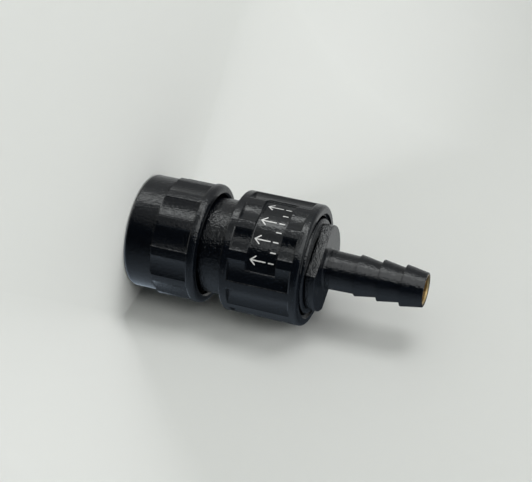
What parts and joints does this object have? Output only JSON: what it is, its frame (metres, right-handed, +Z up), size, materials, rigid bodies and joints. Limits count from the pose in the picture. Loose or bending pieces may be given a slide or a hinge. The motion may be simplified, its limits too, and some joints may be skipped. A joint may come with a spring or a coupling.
{
  "type": "quick disconnect coupling",
  "caption": "Black plastic quick disconnect coupling: fluted clamp nut for a hose, sprung release sleeve with ball lock, and a barbed plug with a brass liner.",
  "frame": {"origin": "centre of the clamp nut's open end face, on the flow axis; the coupling stands on this face", "axes": "Z up along the flow axis from the clamp nut to the hose barb; the middle of the sleeve's label window faces -Y; X to the right of it"},
  "size_m": [0.031, 0.031, 0.0744],
  "materials": {
    "black_nut": "moulded, fine spark-eroded texture, satin",
    "black_sleeve": "moulded, smooth and glossy",
    "black_body": "moulded, satin",
    "black_plug": "moulded, lightly pitted satin",
    "natural_acetal": "natural acetal, satin",
    "seal_rubber": "smooth",
    "steel": "ground",
    "spring_steel": "drawn wire",
    "brass": "drawn tube, slightly dull"
  },
  "bodies": {
    "nut": {"clamp_nut": "black_nut"},
    "ring": {"clamp_ring": "natural_acetal"},
    "socket": {"socket_body": "black_body", "socket_seal": "seal_rubber", "spring_washer": "steel", "sleeve_spring": "spring_steel", "end_ring": "black_body"},
    "sleeve": {"release_sleeve": "black_sleeve"},
    "plug": {"plug_nipple": "black_plug", "brass_liner": "brass"},
    "ball_1": {"lock_ball_1": "steel"},
    "ball_2": {"lock_ball_2": "steel"},
    "ball_3": {"lock_ball_3": "steel"},
    "ball_4": {"lock_ball_4": "steel"},
    "ball_5": {"lock_ball_5": "steel"},
    "ball_6": {"lock_ball_6": "steel"}
  },
  "joints": [
    {"name": "nut_turn", "type": "hinge", "parent": "nut", "child": "ring", "pos_m": [0, 0, 0.006], "axis": [0, 0, 1], "range_deg": [0, 1080]},
    {"name": "socket_lift", "type": "slide", "parent": "ring", "child": "socket", "axis": [0, 0, 1], "range_m": [0, 0.0045]},
    {"name": "sleeve_slide", "type": "slide", "parent": "socket", "child": "sleeve", "axis": [0, 0, -1], "range_m": [0, 0.0045], "stiffness_N_per_m": 1200, "springref_m": -0.005, "deforming": ["sleeve_spring"]},
    {"name": "plug_swivel", "type": "hinge", "parent": "socket", "child": "plug", "pos_m": [0, 0, 0.04], "axis": [0, 0, 1], "continuous": true},
    {"name": "ball_1_lift", "type": "slide", "parent": "socket", "child": "ball_1", "axis": [1, 0, 0], "range_m": [0, 0.0011]},
    {"name": "ball_2_lift", "type": "slide", "parent": "socket", "child": "ball_2", "axis": [0.5, 0.866, 0], "range_m": [0, 0.0011]},
    {"name": "ball_3_lift", "type": "slide", "parent": "socket", "child": "ball_3", "axis": [-0.5, 0.866, 0], "range_m": [0, 0.0011]},
    {"name": "ball_4_lift", "type": "slide", "parent": "socket", "child": "ball_4", "axis": [-1, 0, 0], "range_m": [0, 0.0011]},
    {"name": "ball_5_lift", "type": "slide", "parent": "socket", "child": "ball_5", "axis": [-0.5, -0.866, 0], "range_m": [0, 0.0011]},
    {"name": "ball_6_lift", "type": "slide", "parent": "socket", "child": "ball_6", "axis": [0.5, -0.866, 0], "range_m": [0, 0.0011]}
  ],
  "couplings": [
    {"joint": "socket_lift", "follows": "nut_turn", "m_per_rad": 0.00023873},
    {"joint": "ball_1_lift", "follows": "sleeve_slide", "ratio": 0.24444},
    {"joint": "ball_2_lift", "follows": "sleeve_slide", "ratio": 0.24444},
    {"joint": "ball_3_lift", "follows": "sleeve_slide", "ratio": 0.24444},
    {"joint": "ball_4_lift", "follows": "sleeve_slide", "ratio": 0.24444},
    {"joint": "ball_5_lift", "follows": "sleeve_slide", "ratio": 0.24444},
    {"joint": "ball_6_lift", "follows": "sleeve_slide", "ratio": 0.24444}
  ]
}
